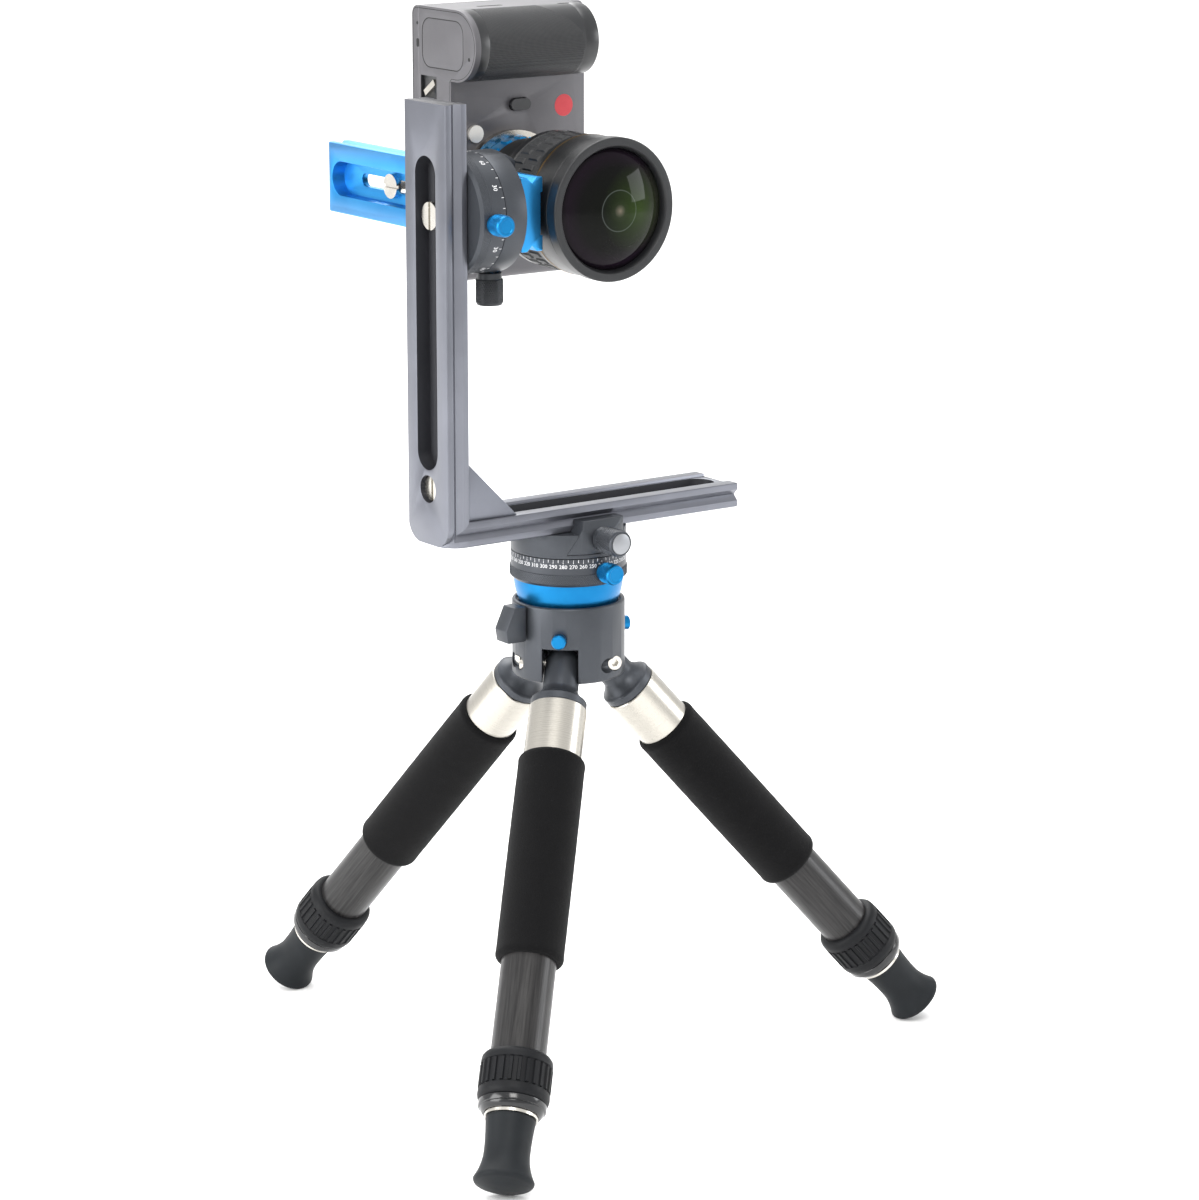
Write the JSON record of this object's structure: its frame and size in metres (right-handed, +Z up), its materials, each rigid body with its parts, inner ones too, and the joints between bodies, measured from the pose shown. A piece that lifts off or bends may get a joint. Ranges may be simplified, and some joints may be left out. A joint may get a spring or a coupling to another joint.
{
  "type": "film camera on tripod",
  "caption": "Camera held upright on an L-shaped bracket with panning and tilting rotators, on a short three-legged table tripod with twist-lock legs and foam grips.",
  "frame": {"origin": "on the floor under the panning axis", "axes": "+X along the horizontal rail towards its free end, +Y towards the camera's back (the lens points to -Y), +Z up"},
  "size_m": [0.3718, 0.375, 0.5676],
  "materials": {
    "grey_anodised": "satin dark grey anodised",
    "black_anodised": "satin black anodised",
    "blue_anodised": "satin blue anodised",
    "steel": "turned",
    "chrome": "bright",
    "black_knob": "knurled black",
    "body_paint": "fine textured dark grey",
    "grip_rubber": "moulded black",
    "foam": "closed-cell foam",
    "carbon": "clear-coated carbon fibre",
    "black_plastic": "moulded black",
    "screen_glass": "polished",
    "lens_glass": "coated"
  },
  "bodies": {
    "hub": {"hub_housing": "grey_anodised", "hinge_pins": "steel"},
    "leg_a": {"leg_head_a": "grey_anodised", "foam_grip_a": "foam", "leg_tube_a": "carbon"},
    "lock_a": {"twist_lock_a": "grip_rubber"},
    "lower_leg_a": {"inner_tube_a": "carbon", "foot_a": "grip_rubber"},
    "button_a": {"stop_button_a": "blue_anodised"},
    "leg_b": {"leg_head_b": "grey_anodised", "foam_grip_b": "foam", "leg_tube_b": "carbon"},
    "lock_b": {"twist_lock_b": "grip_rubber"},
    "lower_leg_b": {"inner_tube_b": "carbon", "foot_b": "grip_rubber"},
    "button_b": {"stop_button_b": "blue_anodised"},
    "leg_c": {"leg_head_c": "grey_anodised", "foam_grip_c": "foam", "leg_tube_c": "carbon"},
    "lock_c": {"twist_lock_c": "grip_rubber"},
    "lower_leg_c": {"inner_tube_c": "carbon", "foot_c": "grip_rubber"},
    "button_c": {"stop_button_c": "blue_anodised"},
    "brake": {"brake_lever": "grey_anodised"},
    "cup": {"brake_cup": "grey_anodised"},
    "ball": {"level_ball": "blue_anodised", "pan_base": "grey_anodised"},
    "pan_lock": {"pan_lock_knob": "blue_anodised"},
    "pan": {"pan_clamp": "grey_anodised"},
    "pan_jaw_part": {"pan_jaw": "grey_anodised"},
    "pan_screw": {"pan_jaw_knob": "black_knob"},
    "bracket": {"horizontal_rail": "black_anodised", "vertical_rail": "black_anodised", "corner_block": "black_anodised", "corner_screws": "steel"},
    "tilt_carriage": {"tilt_base": "grey_anodised", "slot_screw": "steel"},
    "tilt": {"tilt_clamp": "grey_anodised"},
    "tilt_lock": {"tilt_lock_knob": "blue_anodised"},
    "tilt_jaw_part": {"tilt_jaw": "grey_anodised"},
    "tilt_screw": {"tilt_jaw_knob": "black_knob"},
    "camera": {"camera_rail": "blue_anodised", "rail_screws": "steel", "front_shell": "body_paint", "rear_shell": "body_paint", "grip_cover": "grip_rubber", "mount_ring": "chrome", "screen": "screen_glass", "viewfinder": "body_paint", "image_sensor": "black_plastic", "lens_adapter": "blue_anodised", "lens_barrel": "black_anodised", "lens_elements": "lens_glass"},
    "focus": {"focus_ring": "grip_rubber"},
    "battery_part": {"battery": "black_plastic"},
    "battery_latch": {"battery_lever": "chrome"},
    "release": {"lens_release": "body_paint"},
    "function": {"function_button": "black_plastic"},
    "shutter": {"shutter_button": "chrome"},
    "dial": {"mode_dial": "body_paint"}
  },
  "joints": [
    {"name": "leg_a_spread", "type": "hinge", "parent": "hub", "child": "leg_a", "pos_m": [-0.01216, -0.01259, 0.22798], "axis": [-0.7193, 0.6947, 0], "range_deg": [-34, 36]},
    {"name": "leg_a_extend", "type": "slide", "parent": "leg_a", "child": "lower_leg_a", "axis": [-0.4576, -0.4738, -0.7524], "range_m": [0, 0.11]},
    {"name": "leg_a_lock_turn", "type": "hinge", "parent": "leg_a", "child": "lock_a", "pos_m": [-0.11396, -0.11801, 0.06057], "axis": [-0.4576, -0.4738, -0.7524], "range_deg": [0, 90]},
    {"name": "stop_button_a_press", "type": "slide", "parent": "hub", "child": "button_a", "axis": [0.6947, 0.7193, 0], "range_m": [0, 0.003], "stiffness_N_per_m": 1500},
    {"name": "leg_b_spread", "type": "hinge", "parent": "hub", "child": "leg_b", "pos_m": [0.01698, -0.00423, 0.22798], "axis": [-0.2419, -0.9703, 0], "range_deg": [-34, 36]},
    {"name": "leg_b_extend", "type": "slide", "parent": "leg_b", "child": "lower_leg_b", "axis": [0.6391, -0.1594, -0.7524], "range_m": [0, 0.11]},
    {"name": "leg_b_lock_turn", "type": "hinge", "parent": "leg_b", "child": "lock_b", "pos_m": [0.15918, -0.03969, 0.06057], "axis": [0.6391, -0.1594, -0.7524], "range_deg": [0, 90]},
    {"name": "stop_button_b_press", "type": "slide", "parent": "hub", "child": "button_b", "axis": [-0.9703, 0.2419, 0], "range_m": [0, 0.003], "stiffness_N_per_m": 1500},
    {"name": "leg_c_spread", "type": "hinge", "parent": "hub", "child": "leg_c", "pos_m": [-0.00482, 0.01682, 0.22798], "axis": [0.9613, 0.2756, 0], "range_deg": [-34, 36]},
    {"name": "leg_c_extend", "type": "slide", "parent": "leg_c", "child": "lower_leg_c", "axis": [-0.1816, 0.6332, -0.7524], "range_m": [0, 0.11]},
    {"name": "leg_c_lock_turn", "type": "hinge", "parent": "leg_c", "child": "lock_c", "pos_m": [-0.04522, 0.1577, 0.06057], "axis": [-0.1816, 0.6332, -0.7524], "range_deg": [0, 90]},
    {"name": "stop_button_c_press", "type": "slide", "parent": "hub", "child": "button_c", "axis": [0.2756, -0.9613, 0], "range_m": [0, 0.003], "stiffness_N_per_m": 1500},
    {"name": "brake_lever_turn", "type": "hinge", "parent": "hub", "child": "brake", "pos_m": [-0.03, 0, 0.25087], "axis": [1, 0, 0], "range_deg": [-45, 45]},
    {"name": "level_roll", "type": "hinge", "parent": "hub", "child": "cup", "pos_m": [0, 0, 0.27228], "axis": [1, 0, 0], "range_deg": [-10, 10]},
    {"name": "level_pitch", "type": "hinge", "parent": "cup", "child": "ball", "pos_m": [0, 0, 0.27228], "axis": [0, 1, 0], "range_deg": [-10, 10]},
    {"name": "pan_turn", "type": "hinge", "parent": "ball", "child": "pan", "pos_m": [0, 0, 0.28728], "axis": [0, 0, 1], "continuous": true},
    {"name": "pan_lock_turn", "type": "hinge", "parent": "ball", "child": "pan_lock", "pos_m": [0.001, -0.03, 0.27978], "axis": [0, -1, 0], "range_deg": [0, 90]},
    {"name": "pan_jaw_slide", "type": "slide", "parent": "pan", "child": "pan_jaw_part", "axis": [0, -1, 0], "range_m": [0, 0.003]},
    {"name": "pan_knob_turn", "type": "hinge", "parent": "pan_jaw_part", "child": "pan_screw", "pos_m": [0, -0.031, 0.29778], "axis": [0, -1, 0], "range_deg": [0, 1080]},
    {"name": "bracket_slide", "type": "slide", "parent": "pan", "child": "bracket", "axis": [1, 0, 0], "range_m": [-0.03, 0.03]},
    {"name": "tilt_shift", "type": "slide", "parent": "bracket", "child": "tilt_carriage", "axis": [0, 0, 1], "range_m": [-0.02, 0.02]},
    {"name": "tilt_turn", "type": "hinge", "parent": "tilt_carriage", "child": "tilt", "pos_m": [-0.0597, 0, 0.47058], "axis": [1, 0, 0], "range_deg": [-30, 30]},
    {"name": "tilt_lock_turn", "type": "hinge", "parent": "tilt_carriage", "child": "tilt_lock", "pos_m": [-0.0672, -0.031, 0.46858], "axis": [0, -1, 0], "range_deg": [0, 90]},
    {"name": "tilt_jaw_slide", "type": "slide", "parent": "tilt", "child": "tilt_jaw_part", "axis": [0, 0, -1], "range_m": [0, 0.003]},
    {"name": "tilt_knob_turn", "type": "hinge", "parent": "tilt_jaw_part", "child": "tilt_screw", "pos_m": [-0.0492, 0, 0.43958], "axis": [0, 0, -1], "range_deg": [0, 1080]},
    {"name": "rail_slide", "type": "slide", "parent": "tilt", "child": "camera", "axis": [0, 1, 0], "range_m": [-0.03, 0.015]},
    {"name": "focus_turn", "type": "hinge", "parent": "camera", "child": "focus", "pos_m": [0.0038, 0, 0.47058], "axis": [0, -1, 0], "range_deg": [-140, 140]},
    {"name": "battery_slide", "type": "slide", "parent": "camera", "child": "battery_part", "axis": [-1, 0, 0], "range_m": [0, 0.036]},
    {"name": "battery_lever_turn", "type": "hinge", "parent": "camera", "child": "battery_latch", "pos_m": [-0.0335, 0.0795, 0.52508], "axis": [-1, 0, 0], "range_deg": [0, 90]},
    {"name": "lens_release_press", "type": "slide", "parent": "camera", "child": "release", "axis": [0, 1, 0], "range_m": [0, 0.0018], "stiffness_N_per_m": 1000},
    {"name": "function_press", "type": "slide", "parent": "camera", "child": "function", "axis": [0, 1, 0], "range_m": [0, 0.0015], "stiffness_N_per_m": 1000},
    {"name": "shutter_press", "type": "slide", "parent": "camera", "child": "shutter", "axis": [-1, 0, 0], "range_m": [0, 0.0018], "stiffness_N_per_m": 1000},
    {"name": "dial_turn", "type": "hinge", "parent": "camera", "child": "dial", "pos_m": [0.0517, 0.0785, 0.54483], "axis": [1, 0, 0], "continuous": true}
  ],
  "couplings": [
    {"joint": "pan_knob_turn", "follows": "pan_jaw_slide", "rad_per_m": 6283.2},
    {"joint": "tilt_knob_turn", "follows": "tilt_jaw_slide", "rad_per_m": 6283.2}
  ]
}
